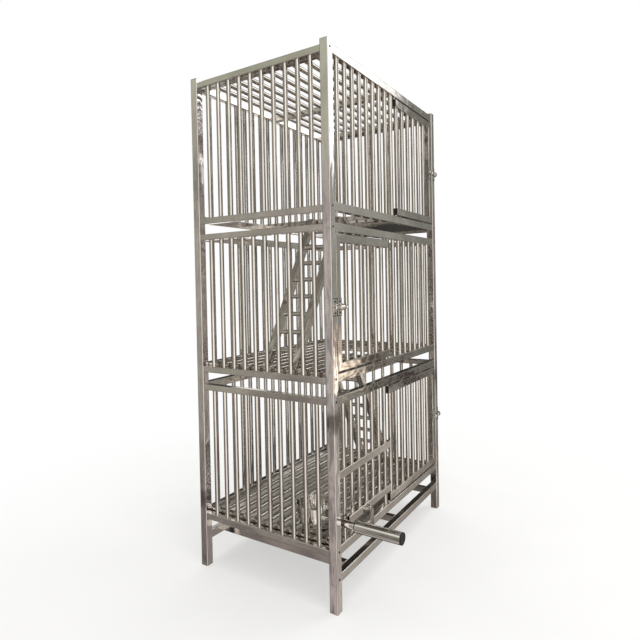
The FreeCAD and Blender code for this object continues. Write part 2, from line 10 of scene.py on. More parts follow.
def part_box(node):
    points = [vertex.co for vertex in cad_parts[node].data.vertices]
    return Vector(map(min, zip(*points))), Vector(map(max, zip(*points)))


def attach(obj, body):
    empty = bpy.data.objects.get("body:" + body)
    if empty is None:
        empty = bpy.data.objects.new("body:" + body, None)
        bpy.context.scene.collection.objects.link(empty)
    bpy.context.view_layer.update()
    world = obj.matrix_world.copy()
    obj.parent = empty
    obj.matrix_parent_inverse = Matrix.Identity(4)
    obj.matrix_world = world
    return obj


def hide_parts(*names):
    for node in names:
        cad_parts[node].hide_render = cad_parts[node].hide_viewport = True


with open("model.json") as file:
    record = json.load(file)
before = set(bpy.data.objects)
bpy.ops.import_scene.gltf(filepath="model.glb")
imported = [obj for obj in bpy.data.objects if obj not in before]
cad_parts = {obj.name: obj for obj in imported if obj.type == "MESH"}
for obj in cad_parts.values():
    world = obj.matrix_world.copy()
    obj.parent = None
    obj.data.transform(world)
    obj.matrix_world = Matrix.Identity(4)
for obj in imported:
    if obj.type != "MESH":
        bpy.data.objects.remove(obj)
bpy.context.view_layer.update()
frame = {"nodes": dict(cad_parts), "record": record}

MM = 0.001
NODES = frame["nodes"]
RECORD = frame["record"]
NODE_BODY = {node: body for body, nodes in RECORD["behaviour"]["bodies"].items() for node in nodes}
NODE_SLOT = {entry["node"]: entry["material_slot"] for entry in RECORD["subparts"]}
TIERS = ("bottom", "middle", "top")

BAR_SIZE = 16 * MM         # bar diameter
BAR_SIDES = 28
WELD_FILLET = ((0.0, 0.9 * MM), (0.25 * MM, 0.62 * MM), (0.7 * MM, 0.2 * MM), (1.1 * MM, 0.0))   # along, out
TUBE_CORNER = 2.4 * MM     # outside corner radius of the square tubes
TUBE_WALL = 1.4 * MM
TUBE_EASE = 0.35 * MM
CORNER_STEPS = 5           # facets of a quarter turn
POST_CORNER = 2.8 * MM
POST_WALL = 1.5 * MM
POST_EASE = 0.5 * MM
FLAT_LIMIT = 8.5 * MM      # thinner pieces are solid flats
FLAT_EASE = 0.7 * MM
SAME_POINT = 1e-6          # vertices closer than this are one
SMOOTH_ANGLE = 35.0        # degrees: sharper edges stay sharp


# ---- materials ----------------------------------------------------------------------
class NodeTree:
    """Small helper that adds and links shader nodes."""

    def __init__(self, tree):
        self.tree = tree

    def add(self, kind, **values):
        node = self.tree.nodes.new(kind)
        for key, value in values.items():
            setattr(node, key, value)
        return node

    def link(self, source, target):
        self.tree.links.new(source, target)

    def stretched(self, source, scale):
        mapping = self.add("ShaderNodeMapping")
        mapping.inputs["Scale"].default_value = scale
        self.link(source, mapping.inputs["Vector"])
        return mapping.outputs["Vector"]

    def noise(self, vector, scale, detail=3.0, rough=0.55, distortion=0.0):
        node = self.add("ShaderNodeTexNoise")
        node.inputs["Scale"].default_value = scale
        node.inputs["Detail"].default_value = detail
        node.inputs["Roughness"].default_value = rough
        node.inputs["Distortion"].default_value = distortion
        self.link(vector, node.inputs["Vector"])
        return node.outputs["Fac"]

    def ramp(self, value, low, high, out_low=0.0, out_high=1.0):
        node = self.add("ShaderNodeMapRange", interpolation_type="SMOOTHSTEP")
        limits = {"From Min": low, "From Max": high, "To Min": out_low, "To Max": out_high}
        for name, number in limits.items():
            node.inputs[name].default_value = number
        self.link(value, node.inputs["Value"])
        return node.outputs["Result"]

    def math(self, operation, first, second):
        node = self.add("ShaderNodeMath", operation=operation)
        for index, value in enumerate((first, second)):
            if isinstance(value, (int, float)):
                node.inputs[index].default_value = value
            else:
                self.link(value, node.inputs[index])
        return node.outputs[0]

    def xyz(self, vector):
        node = self.add("ShaderNodeSeparateXYZ")
        self.link(vector, node.inputs[0])
        return node.outputs

    def mix(self, factor, first, second):
        node = self.add("ShaderNodeMix", data_type="RGBA")
        self.link(factor, node.inputs[0])
        for index, value in ((6, first), (7, second)):
            if isinstance(value, tuple):
                node.inputs[index].default_value = value + (1.0,)
            else:
                self.link(value, node.inputs[index])
        return node.outputs[2]

    def blend(self, factor, first, second):
        """Mixes two shaders."""
        node = self.add("ShaderNodeMixShader")
        for index, source in enumerate((factor, first, second)):
            self.link(source, node.inputs[index])
        return node.outputs[0]

    def bump(self, height, distance, normal=None):
        node = self.add("ShaderNodeBump")
        node.inputs["Strength"].default_value = 1.0
        node.inputs["Distance"].default_value = distance
        self.link(height, node.inputs["Height"])
        if normal is not None:
            self.link(normal, node.inputs["Normal"])
        return node.outputs["Normal"]


class Shader(NodeTree):
    """The node tree of a new material, with its surface shader."""

    def __init__(self, name):
        self.material = bpy.data.materials.new(name)
        self.material.use_nodes = True
        super().__init__(self.material.node_tree)
        self.surface = self.tree.nodes["Principled BSDF"]

    def place(self):
        """Object coordinates."""
        return self.add("ShaderNodeTexCoord").outputs["Object"]

    def grain(self):
        """Coordinates whose first axis runs along a piece."""
        return self.add("ShaderNodeAttribute", attribute_name="grain").outputs["Vector"]

    def finish(self, colour, rough, normal, metallic):
        for name, source in (("Base Color", colour), ("Roughness", rough), ("Normal", normal)):
            self.link(source, self.surface.inputs[name])
        self.surface.inputs["Metallic"].default_value = metallic
        return self.material


FRONT_TINT_LEVEL = 0.605   # heights of the heat tint's middle, in metres
BACK_TINT_LEVEL = 0.25
POST_TINT = (0.20, 0.165, 0.165)


def weld_tint(s, colour):
    """Darker, mauve heat tint: high on the front bottom posts, low on the back ones."""
    where = s.xyz(s.place())
    centre = s.ramp(where["Y"], 0.0, 0.1, FRONT_TINT_LEVEL, BACK_TINT_LEVEL)
    away = s.math("ABSOLUTE", s.math("SUBTRACT", where["Z"], centre), 0.0)
    ragged = s.noise(s.place(), 30.0, 3.0)
    reach = s.math("ADD", away, s.math("MULTIPLY", ragged, 0.05))
    return s.mix(s.ramp(reach, 0.075, 0.03, 0.0, 0.8), colour, POST_TINT)


SMEAR_TINT = (0.47, 0.40, 0.38)
LINE_TINT = (0.36, 0.34, 0.33)


def polished_steel(name, light, shade, rough, wave, stain, grained=True, tinted=False):
    """Mirror-polished stainless steel: polishing lines, smears, faint heat tint, wavy reflections."""
    s = Shader(name)
    where = s.grain() if grained else s.place()
    lines = s.noise(s.stretched(where, (3.0, 420.0, 420.0)), 1.0, 4.0, 0.6)
    smear = s.noise(where, 38.0, 5.0, 0.62, 0.6)
    patch = s.noise(where, 6.5, 3.0, 0.5, 0.3)
    tone = s.mix(s.ramp(patch, 0.35, 0.68), light, shade)
    tone = s.mix(s.ramp(smear, 0.56, 0.78, 0.0, stain), tone, SMEAR_TINT)
    if tinted:
        tone = weld_tint(s, tone)
    tone = s.mix(s.ramp(lines, 0.45, 0.75, 0.0, 0.18), tone, LINE_TINT)
    smudge = s.ramp(smear, 0.42, 0.7, 0.0, 0.07)
    sheen = s.math("ADD", smudge, s.ramp(lines, 0.3, 0.72, rough, rough + 0.05))
    waves = s.noise(s.stretched(where, (9.0, 26.0, 26.0)), 1.0, 2.0, 0.45)
    return s.finish(tone, sheen, s.bump(lines, 0.00002, s.bump(waves, wave)), 1.0)


def sheet_steel(name):
    """Rolled sheet: mill streaks and scuffs, worn dull on the faces that look up."""
    s = Shader(name)
    where = s.place()
    streak = s.noise(s.stretched(where, (5.0, 220.0, 220.0)), 1.0, 4.0, 0.6)
    scuff = s.noise(where, 22.0, 6.0, 0.65, 0.8)
    tone = s.mix(s.ramp(scuff, 0.35, 0.7), (0.78, 0.77, 0.74), (0.64, 0.62, 0.60))
    tone = s.mix(s.ramp(streak, 0.4, 0.75, 0.0, 0.2), tone, (0.45, 0.44, 0.43))
    facing = s.xyz(s.add("ShaderNodeNewGeometry").outputs["True Normal"])
    wear = s.ramp(facing["Z"], 0.2, 0.8, 0.0, 0.30)
    shine = s.math("ADD", s.ramp(scuff, 0.4, 0.7, 0.0, 0.03), s.ramp(streak, 0.3, 0.7, 0.012, 0.03))
    dents = s.noise(where, 5.0, 2.0, 0.4)
    return s.finish(tone, s.math("ADD", shine, wear), s.bump(streak, 0.00001, s.bump(dents, 0.0016)), 1.0)


def moulded_plastic(name):
    """Black injection-moulded plastic with a fine grain and rubbed, greyer spots."""
    s = Shader(name)
    where = s.place()
    pebble = s.noise(where, 2600.0, 2.0, 0.5)
    rub = s.noise(where, 90.0, 5.0, 0.6, 0.4)
    tone = s.mix(s.ramp(rub, 0.5, 0.75, 0.0, 0.8), (0.012, 0.012, 0.013), (0.05, 0.05, 0.052))
    return s.finish(tone, s.ramp(rub, 0.35, 0.7, 0.32, 0.55), s.bump(pebble, 0.00006), 0.0)


# light tone, shaded tone, roughness, height of the waves, strength of the smears
POST = ((0.88, 0.84, 0.82), (0.74, 0.69, 0.685), 0.035, 0.0022, 0.35)
GRILLE = ((0.80, 0.765, 0.73), (0.66, 0.625, 0.59), 0.055, 0.0012, 0.35)
DOOR = ((0.79, 0.75, 0.71), (0.63, 0.59, 0.555), 0.05, 0.0014, 0.35)
FLOOR = ((0.74, 0.705, 0.67), (0.58, 0.55, 0.52), 0.07, 0.0012, 0.35)
LADDER = ((0.80, 0.77, 0.73), (0.64, 0.61, 0.57), 0.07, 0.0016, 0.35)
FEEDER = ((0.82, 0.80, 0.775), (0.66, 0.635, 0.61), 0.06, 0.0008, 0.2)
BOWL = ((0.99, 0.975, 0.95), (0.90, 0.88, 0.85), 0.05, 0.009, 0.05)
LATCH = ((0.90, 0.87, 0.83), (0.70, 0.67, 0.63), 0.06, 0.006, 0.3)
HOOK = ((0.72, 0.69, 0.655), (0.50, 0.47, 0.44), 0.17, 0.0006, 0.5)
SCREW = ((0.24, 0.23, 0.22), (0.12, 0.115, 0.11), 0.26, 0.0003, 0.5)

MATERIALS = {
    "post_steel": polished_steel("post_polish", *POST, tinted=True),
    "grille_steel": polished_steel("grille_polish", *GRILLE),
    "door_steel": polished_steel("door_polish", *DOOR),
    "floor_steel": polished_steel("floor_polish", *FLOOR),
    "ladder_steel": polished_steel("ladder_polish", *LADDER),
    "feeder_steel": polished_steel("feeder_polish", *FEEDER),
    "fitting_steel": polished_steel("fitting_polish", *LATCH),
    "screw_steel": polished_steel("screw_dark", *SCREW),
    "sheet_steel": sheet_steel("pan_sheet"),
    "black_plastic": moulded_plastic("black_moulding"),
}
BOWL_STEEL = polished_steel("bowl_polish", *BOWL)
# for pieces without grain coordinates: the CAD's own, and copies of them
PLAIN = {
    "post_steel": polished_steel("post_polish_plain", *POST, grained=False),
    "fitting_steel": polished_steel("fitting_polish_plain", *HOOK, grained=False),
    "feeder_steel": polished_steel("feeder_polish_plain", *FEEDER, grained=False),
}


def plain_material(node):
    slot = NODE_SLOT[node]
    return PLAIN.get(slot, MATERIALS[slot])


# ---- mesh helpers -------------------------------------------------------------------
def around(elements, kind):
    """What the elements link to, such as link_edges or verts: each once, always in the same order."""
    return list(dict.fromkeys(item for element in elements for item in getattr(element, kind)))


class Solid:
    """Collects shapes for one piece, with a grain direction at every point."""

    def __init__(self):
        self.bm = bmesh.new()
        self.grain = self.bm.verts.layers.float_vector.new("grain")
        self.count = 0

    def add_grain(self, verts, axis):
        """Grain coordinates: along the piece first, shifted so that neighbours differ."""
        self.count += 1
        shift = Vector((0.37 * self.count, 0.113 * self.count, 0.071 * self.count))
        order = [axis] + [index for index in range(3) if index != axis]
        for vert in verts:
            vert[self.grain] = Vector([vert.co[index] for index in order]) + shift

    def skin(self, rings, axis, closed):
        """Faces between neighbouring rings. The last ring meets the first, or both ends are capped."""
        followers = rings[1:] + rings[:1] if closed else rings[1:]
        for first, second in zip(rings, followers):
            for step in range(len(first)):
                after = (step + 1) % len(first)
                self.bm.faces.new((first[step], first[after], second[after], second[step]))
        if not closed:
            self.bm.faces.new(rings[0])
            self.bm.faces.new(rings[-1])
        verts = [vert for ring in rings for vert in ring]
        self.add_grain(verts, axis)
        return verts

    def lathe(self, centre, axis, profile, sides=BAR_SIDES, flip=1.0, closed=False):
        """Solid of revolution: profile is (distance along the axis, radius), closed for tubes and bowls."""
        side_a, side_b = [index for index in range(3) if index != axis]
        rings = []
        for along, radius in profile:
            ring = []
            for step in range(sides):
                angle = 2.0 * math.pi * step / sides
                co = list(centre)
                co[axis] += along * flip
                co[side_a] += radius * math.cos(angle)
                co[side_b] += radius * math.sin(angle)
                ring.append(self.bm.verts.new(co))
            rings.append(ring)
        self.skin(rings, axis, closed)

    def bar(self, low, high, axis):
        """Round bar with a small weld fillet at each end."""
        length = high[axis] - low[axis]
        radius = (high[(axis + 1) % 3] - low[(axis + 1) % 3]) / 2.0
        start = (low + high) / 2.0
        start[axis] = low[axis]
        fillet = [(along, radius + wide) for along, wide in WELD_FILLET]
        profile = fillet + [(length - along, wide) for along, wide in reversed(fillet)]
        self.lathe(start, axis, profile)

    def tube(self, low, high, axis, corner=TUBE_CORNER, wall=TUBE_WALL, ease=TUBE_EASE):
        """Square tube with rounded long edges and faintly eased ends."""
        side_a, side_b = [index for index in range(3) if index != axis]
        centre = (low + high) / 2.0
        half_a = (high[side_a] - low[side_a]) / 2.0
        half_b = (high[side_b] - low[side_b]) / 2.0

        def ring(level, inset, radius):
            verts = []
            for quarter, (sign_a, sign_b) in enumerate(((1, 1), (-1, 1), (-1, -1), (1, -1))):
                for step in range(CORNER_STEPS + 1):
                    angle = math.pi / 2.0 * (quarter + step / CORNER_STEPS)
                    co = list(centre)
                    co[axis] = level
                    co[side_a] += sign_a * (half_a - inset - radius) + radius * math.cos(angle)
                    co[side_b] += sign_b * (half_b - inset - radius) + radius * math.sin(angle)
                    verts.append(self.bm.verts.new(co))
            return verts

        inner = max(corner - wall, 0.4 * MM)
        rim = corner - ease * 0.5
        start, end = low[axis], high[axis]
        rings = [ring(start, wall, inner), ring(start, ease, rim), ring(start + ease, 0.0, corner),
                 ring(end - ease, 0.0, corner), ring(end, ease, rim), ring(end, wall, inner)]
        return self.skin(rings, axis, True)

    def block(self, low, high, axis=0, edge=0.8 * MM, segments=2):
        """Box with eased edges."""
        centre = (low + high) / 2.0
        size = high - low
        matrix = Matrix.Translation(centre) @ Matrix.Diagonal((size.x, size.y, size.z, 1.0))
        verts = bmesh.ops.create_cube(self.bm, size=1.0, matrix=matrix)["verts"]
        if edge > 0.0:
            made = bmesh.ops.bevel(self.bm, geom=around(verts, "link_edges"), offset=edge,
                                   segments=segments, affect="EDGES", profile=0.5)
            verts = around(made["faces"], "verts")
        self.add_grain(verts, axis)
        return verts

    def piece(self, name, body, slot, replaces=(), angle=SMOOTH_ANGLE, material=None, weighted=True):
        """Turns what was collected into a piece that rides on a body."""
        bmesh.ops.recalc_face_normals(self.bm, faces=self.bm.faces)
        mesh = bpy.data.meshes.new(name)
        self.bm.to_mesh(mesh)
        self.bm.free()
        mesh.shade_smooth()
        mesh.set_sharp_from_angle(angle=math.radians(angle))
        obj = bpy.data.objects.new(name, mesh)
        bpy.context.scene.collection.objects.link(obj)
        obj.data.materials.append(material or MATERIALS[slot])
        if weighted:
            modifier = obj.modifiers.new("normals", "WEIGHTED_NORMAL")
            modifier.keep_sharp = True
            modifier.weight = 100
        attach(obj, body)
        if replaces:
            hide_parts(*replaces)


def islands(node):
    """Lowest and highest corner of each separate solid in a CAD node."""
    bm = bmesh.new()
    bm.from_mesh(NODES[node].data)
    bmesh.ops.remove_doubles(bm, verts=bm.verts, dist=SAME_POINT)
    seen = set()
    found = []
    for seed in bm.verts:
        if seed.index in seen:
            continue
        stack = [seed]
        seen.add(seed.index)
        cluster = []
        while stack:
            vert = stack.pop()
            cluster.append(vert.co.copy())
            for edge in vert.link_edges:
                other = edge.other_vert(vert)
                if other.index not in seen:
                    seen.add(other.index)
                    stack.append(other)
        low = Vector([min(co[index] for co in cluster) for index in range(3)])
        high = Vector([max(co[index] for co in cluster) for index in range(3)])
        found.append((low, high))
    bm.free()
    return sorted(found, key=lambda pair: tuple(round(value, 5) for value in (*pair[0], *pair[1])))


def is_bar(low, high):
    return all(abs(size - BAR_SIZE) < 0.3 * MM for size in sorted(high - low)[:2])


def rebuild(node):
    """The same tubes, bars and flats as the CAD node, with rounded edges and welds."""
    solid = Solid()
    for low, high in islands(node):
        size = high - low
        axis = max(range(3), key=lambda index: size[index])
        if is_bar(low, high):
            solid.bar(low, high, axis)
        elif min(size) < FLAT_LIMIT:
            solid.block(low, high, axis, FLAT_EASE)
        else:
            solid.tube(low, high, axis)
    solid.piece(node + "_made", NODE_BODY[node], NODE_SLOT[node], (node,))


def eased_copy(node, width):
    """A copy of a CAD node with softened edges."""
    mesh = NODES[node].data.copy()
    bm = bmesh.new()
    bm.from_mesh(mesh)
    bmesh.ops.remove_doubles(bm, verts=bm.verts, dist=SAME_POINT)
    bmesh.ops.dissolve_limit(bm, angle_limit=math.radians(1.0), verts=bm.verts, edges=bm.edges)
    bm.to_mesh(mesh)
    bm.free()
    mesh.shade_smooth()
    obj = bpy.data.objects.new(node + "_eased", mesh)
    bpy.context.scene.collection.objects.link(obj)
    obj.data.materials.clear()
    obj.data.materials.append(plain_material(node))
    bevel = obj.modifiers.new("edges", "BEVEL")
    bevel.width = width
    bevel.segments = 2
    bevel.limit_method = "ANGLE"
    bevel.angle_limit = math.radians(SMOOTH_ANGLE)
    bevel.harden_normals = True
    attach(obj, NODE_BODY[node])
    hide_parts(node)


# ---- frame, grilles, floors ---------------------------------------------------------
for tier in TIERS:
    for part in ("front_rails", "front_bars", "left_grille", "right_grille", "back_grille", "floor_grid"):
        rebuild(part + "_" + tier)
for node in ("feed_rails", "roof_grid", "base_frame"):
    rebuild(node)

for node in sorted(NODES):
    if node.startswith("post_") and node.count("_") == 3:       # post_front_left_top and its likes
        post = Solid()
        low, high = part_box(node)
        post.tube(low, high, 2, POST_CORNER, POST_WALL, POST_EASE)
        post.piece(node + "_made", NODE_BODY[node], NODE_SLOT[node], (node,))


def post_plates(node):
    """Square plates that close the posts, with the posts' own corner radius."""
    plates = Solid()
    for low, high in islands(node):
        verts = plates.block(low, high, 0, 0.0)
        upright = [edge for edge in around(verts, "link_edges")
                   if abs(edge.verts[0].co.z - edge.verts[1].co.z) > 1 * MM]
        bmesh.ops.bevel(plates.bm, geom=upright, offset=POST_CORNER, segments=CORNER_STEPS,
                        affect="EDGES", profile=0.5)
    plates.piece(node + "_made", NODE_BODY[node], NODE_SLOT[node], (node,), material=PLAIN["post_steel"])


post_plates("post_caps")
post_plates("foot_caps")

# ---- doors --------------------------------------------------------------------------
DOOR_LOWER = 28 * MM       # height of the lower rail
DOOR_UPPER = 29 * MM       # height of the upper rail
STILE = 26 * MM
# depth of the black blocks in the rails' hinge ends, which are painted shade for the open tube ends
HINGE_END_SHADE_DEPTH = 6 * MM


def cut_mitre(solid, verts, corner, rise, run, keep):
    """Trims a member on the slanted plane through a door's corner and closes it."""
    normal = Vector((rise, 0.0, -run))
    if normal.z * rise > 0.0:
        normal = -normal
    geometry = verts + around(verts, "link_edges") + around(verts, "link_faces")
    cut = bmesh.ops.bisect_plane(solid.bm, geom=geometry, dist=1e-7, plane_co=corner,
                                 plane_no=normal * keep, clear_outer=True)
    rim = [item for item in cut["geom_cut"] if isinstance(item, bmesh.types.BMEdge)]
    bmesh.ops.holes_fill(solid.bm, edges=rim, sides=0)


def build_door(tier):
    """Two rails and a stile with mitred corners, bars, and black blocks in the rails' hinge ends that paint
    the shade of the open tube ends.
    """
    node = "door_" + tier
    body = NODE_BODY[node]
    low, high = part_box(node)
    case_low, case_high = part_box("latch_case_" + tier)
    latch_right = case_low.x + case_high.x > low.x + high.x
    outer, inner = (high.x, high.x - STILE) if latch_right else (low.x, low.x + STILE)
    lower_top = low.z + DOOR_LOWER
    upper_foot = high.z - DOOR_UPPER
    lower_corner = (lower_top, low.z)
    upper_corner = (upper_foot, high.z)
    members = (
        ((low.x, low.y, low.z), (high.x, high.y, lower_top), 0, (lower_corner,), 1.0),
        ((low.x, low.y, upper_foot), (high.x, high.y, high.z), 0, (upper_corner,), 1.0),
        ((min(outer, inner), low.y, low.z), (max(outer, inner), high.y, high.z), 2,
         (lower_corner, upper_corner), -1.0),
    )
    leaf = Solid()
    for start, end, axis, corners, keep in members:
        verts = leaf.tube(Vector(start), Vector(end), axis)
        for inner_z, outer_z in corners:
            verts = [vert for vert in verts if vert.is_valid]
            corner = Vector((outer, (low.y + high.y) / 2.0, outer_z))
            cut_mitre(leaf, verts, corner, outer_z - inner_z, outer - inner, keep)
    for bar_low, bar_high in islands(node):
        if is_bar(bar_low, bar_high):
            leaf.bar(bar_low, bar_high, 2)
    leaf.piece(node + "_made", body, NODE_SLOT[node], (node,))

    # black blocks just inside the rails' hinge ends: painted shade in place of the dark of the open tube
    # ends
    hinge_end_shade = Solid()
    hinge_x, seen_x = (low.x, low.x + 0.4 * MM) if latch_right else (high.x, high.x - 0.4 * MM)
    deep_x = hinge_x + HINGE_END_SHADE_DEPTH * (1.0 if latch_right else -1.0)
    for foot, head in ((low.z, lower_top), (upper_foot, high.z)):
        hinge_end_shade.block(Vector((min(seen_x, deep_x), low.y + TUBE_WALL, foot + TUBE_WALL)),
                    Vector((max(seen_x, deep_x), high.y - TUBE_WALL, head - TUBE_WALL)), 0, 0.9 * MM, 3)
    hinge_end_shade.piece("door_hinge_end_shade_" + tier, body, "black_plastic")


for tier in TIERS:
    build_door(tier)


# ---- latches ------------------------------------------------------------------------
LATCH_PLATE = 2 * MM       # thickness of the plate
LATCH_INSET = 1 * MM       # the guide is this much shorter than the plate at each end
BARREL_HALF = 11 * MM      # half of the guide's height
BARREL_EASE = 1.2 * MM
BARREL_STEPS = 16          # facets of the guide's half turn
BORE_R = 4.4 * MM
BOLT_Y = sum(corner.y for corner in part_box("latch_bolt_top")) / 2.0
# black rim behind each latch plate, a little wider than the plate: painted shade along the plate's edges
SHADE_RIM_MARGIN = 2.2 * MM
SHADE_RIM_THICK = 0.8 * MM
SCREW_SIDES = 24
LATCH_SCREW_R = 4.0 * MM
LATCH_SCREW_HIGH = 2.2 * MM
LATCH_SCREW_PLACE = 0.35   # from the middle, as a share of the plate's height


def screw_profile(radius, height):
    """Pan head from the seat outwards."""
    return [(0.0, radius), (0.25 * height, radius), (0.62 * height, 0.9 * radius),
            (0.88 * height, 0.66 * radius), (height, 0.34 * radius), (height, 0.2 * radius),
            (0.55 * height, 0.16 * radius)]


def barrel(solid, low, high, plate_y):
    """Half-round guide along X, bored for its bolt, from the plate out to the latch's front."""
    half = (high.z - low.z) / 2.0
    middle = (high.z + low.z) / 2.0
    reach = plate_y - low.y
    outline = []
    for step in range(BARREL_STEPS + 1):
        angle = math.pi * step / BARREL_STEPS
        outline.append((plate_y - reach * math.sin(angle) ** 0.8, middle + half * math.cos(angle)))
    outline += [(plate_y, middle - half + half * step / 4.0) for step in range(1, 8)]
    bore = []
    for y, z in outline:
        angle = math.atan2(z - middle, y - BOLT_Y)
        bore.append((BOLT_Y + BORE_R * math.cos(angle), middle + BORE_R * math.sin(angle)))

    def ring(x, points, shrink=1.0):
        return [solid.bm.verts.new((x, plate_y - (plate_y - y) * shrink, middle + (z - middle) * shrink))
                for y, z in points]

    rings = [ring(low.x, bore), ring(low.x, outline, 0.88), ring(low.x + BARREL_EASE, outline)]
    rings += [ring(high.x - BARREL_EASE, outline), ring(high.x, outline, 0.88), ring(high.x, bore)]
    solid.skin(rings, 0, True)


def build_latch(name, body, low, high, replaces):
    """Plate with eased corners on a black rim that paints the shade round its edges, bored half-round guide
    and two dark screws.
    """
    centre = (low + high) / 2.0
    plate_front = high.y - LATCH_PLATE
    margin = Vector((SHADE_RIM_MARGIN, 0.0, SHADE_RIM_MARGIN))
    # painted shade: a thin black sheet just wider than the plate, standing in for the shadow round its edges
    shade_rim = Solid()
    shade_rim.block(Vector((low.x, high.y - SHADE_RIM_THICK, low.z)) - margin, high + margin, 2, 0.3 * MM)
    shade_rim.piece(name + "_shade_rim", body, "black_plastic")
    case = Solid()
    case.block(Vector((low.x, plate_front, low.z)), high.copy(), 2, 0.7 * MM, 3)
    barrel(case, Vector((low.x + LATCH_INSET, low.y, centre.z - BARREL_HALF)),
           Vector((high.x - LATCH_INSET, plate_front, centre.z + BARREL_HALF)), plate_front + 0.2 * MM)
    case.piece(name, body, "fitting_steel", replaces, 40.0)
    screws = Solid()
    for share in (-LATCH_SCREW_PLACE, LATCH_SCREW_PLACE):
        seat = Vector((centre.x, plate_front, centre.z + share * (high.z - low.z)))
        screws.lathe(seat, 1, screw_profile(LATCH_SCREW_R, LATCH_SCREW_HIGH), SCREW_SIDES, -1.0)
    screws.piece(name + "_screws", body, "screw_steel", angle=30.0)


for index, (low, high) in enumerate(islands("latch_keepers")):
    build_latch("latch_keeper_%d" % index, "frame", low, high, () if index else ("latch_keepers",))
for tier in TIERS:
    node = "latch_case_" + tier
    build_latch(node + "_made", NODE_BODY[node], *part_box(node), (node,))

BOLT_R = 4 * MM
KNOB_LENGTH = 10 * MM
# from the knob's outer end inwards, and the radius there
KNOB = ((KNOB_LENGTH, 4.6 * MM), (8.8 * MM, 4.6 * MM), (8.0 * MM, 5.9 * MM), (6.6 * MM, 7.0 * MM),
        (3.4 * MM, 7.0 * MM), (1.2 * MM, 5.6 * MM), (0.0, 3.0 * MM))


def build_bolt(tier):
    """Round rod with a turned knob at the end that sticks out of the latch case."""
    node = "latch_bolt_" + tier
    low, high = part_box(node)
    case_low, case_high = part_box("latch_case_" + tier)
    knob_right = low.x + high.x > case_low.x + case_high.x
    tip = (low + high) / 2.0
    tip.x = low.x if knob_right else high.x
    length = high.x - low.x
    profile = [(0.0, BOLT_R - 0.8 * MM), (0.8 * MM, BOLT_R), (length - KNOB_LENGTH, BOLT_R)]
    profile += [(length - along, radius) for along, radius in KNOB]
    bolt = Solid()
    bolt.lathe(tip, 0, profile, flip=1.0 if knob_right else -1.0)
    bolt.piece(node + "_made", NODE_BODY[node], NODE_SLOT[node], (node,), 30.0)


for tier in TIERS:
    build_bolt(tier)

# ---- screws -------------------------------------------------------------------------
heads = Solid()
for low, high in islands("panel_screws"):
    centre = (low + high) / 2.0
    seat = Vector((centre.x, high.y, centre.z))
    heads.lathe(seat, 1, screw_profile((high.x - low.x) / 2.0, high.y - low.y), SCREW_SIDES, -1.0)
heads.piece("panel_screws_made", "frame", "screw_steel", ("panel_screws",), 30.0)

# ---- ladders, hook, pins ------------------------------------------------------------
STRINGER_LEVEL = 25 * MM / math.sin(math.radians(60.0))     # level width of a slanted stringer


def build_ladder(node):
    """Slanted square tubes, capped at the head, with round rungs."""
    solid = Solid()
    members = islands(node)
    rungs = sorted((pair for pair in members if is_bar(*pair)), key=lambda pair: pair[0].z)
    lean = 1.0 if rungs[-1][0].x > rungs[0][0].x else -1.0
    for low, high in rungs:
        solid.bar(low, high, 1)
    for low, high in members:
        if is_bar(low, high):
            continue
        foot = low.x if lean > 0.0 else high.x - STRINGER_LEVEL
        run = lean * (high.x - low.x - STRINGER_LEVEL)
        head = Vector((foot + STRINGER_LEVEL, high.y, high.z))
        verts = solid.tube(Vector((foot, low.y, low.z)), head, 2)
        cap_low = Vector((foot + TUBE_WALL, low.y + TUBE_WALL, high.z - 2.0 * MM))
        cap_high = head - Vector((TUBE_WALL, TUBE_WALL, 0.3 * MM))
        verts += solid.block(cap_low, cap_high, 0, 0.0)
        for vert in verts:
            vert.co.x += run * (vert.co.z - low.z) / (high.z - low.z)
    solid.piece(node + "_made", NODE_BODY[node], NODE_SLOT[node], (node,))


for node in ("upper_ladder", "lower_ladder"):
    build_ladder(node)
eased_copy("feed_hook", 0.5 * MM)
eased_copy("hook_pin", 0.4 * MM)

# ---- feeder -------------------------------------------------------------------------
BOWL_WALL = 1.2 * MM
BOWL_ROLL = 2.2 * MM       # radius of the rolled rim
BOWL_FOOT_R = 42 * MM
BOWL_SIDES = 72
HANDLE_WALL = 1.5 * MM
HANDLE_SIDES = 48
PLUG_LIP = 5 * MM


def build_bowl():
    """Spun bowl with a flat foot, a swelling side and a rolled rim."""
    low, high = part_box("feed_bowl")
    rim_r = (high.x - low.x) / 2.0 - BOWL_ROLL
    depth = high.z - low.z
    outside = [(0.0, 0.4 * MM), (0.0, BOWL_FOOT_R - 6 * MM), (0.0, BOWL_FOOT_R - 1.5 * MM)]
    for share in (0.012, 0.03, 0.06, 0.1, 0.16, 0.24, 0.34, 0.46, 0.6, 0.75, 0.9):
        swell = math.sqrt(max(0.0, 1.0 - (1.0 - share) ** 2))
        outside.append((depth * share, BOWL_FOOT_R + (rim_r - BOWL_FOOT_R) * swell))
    roll = []
    for degrees in range(-80, 171, 25):
        turn = math.radians(degrees)
        roll.append((depth - BOWL_ROLL + BOWL_ROLL * math.sin(turn), rim_r + BOWL_ROLL * math.cos(turn)))
    inside = [(z + BOWL_WALL * (1.0 - z / depth), r - BOWL_WALL) for z, r in reversed(outside[3:])]
    inside += [(BOWL_WALL, BOWL_FOOT_R - 3 * MM), (BOWL_WALL, 0.4 * MM)]
    axis = (low + high) / 2.0
    bowl = Solid()
    bowl.lathe(Vector((axis.x, axis.y, low.z)), 2, outside + roll + inside, BOWL_SIDES, closed=True)
    bowl.piece("feed_bowl_made", "feeder", "feeder_steel", ("feed_bowl",), 40.0, BOWL_STEEL, False)


def handle_box(node):
    """Where a part of the handle begins, its length and its radius."""
    low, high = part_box(node)
    start = (low + high) / 2.0
    start.y = low.y
    return start, high.y - low.y, (high.x - low.x) / 2.0


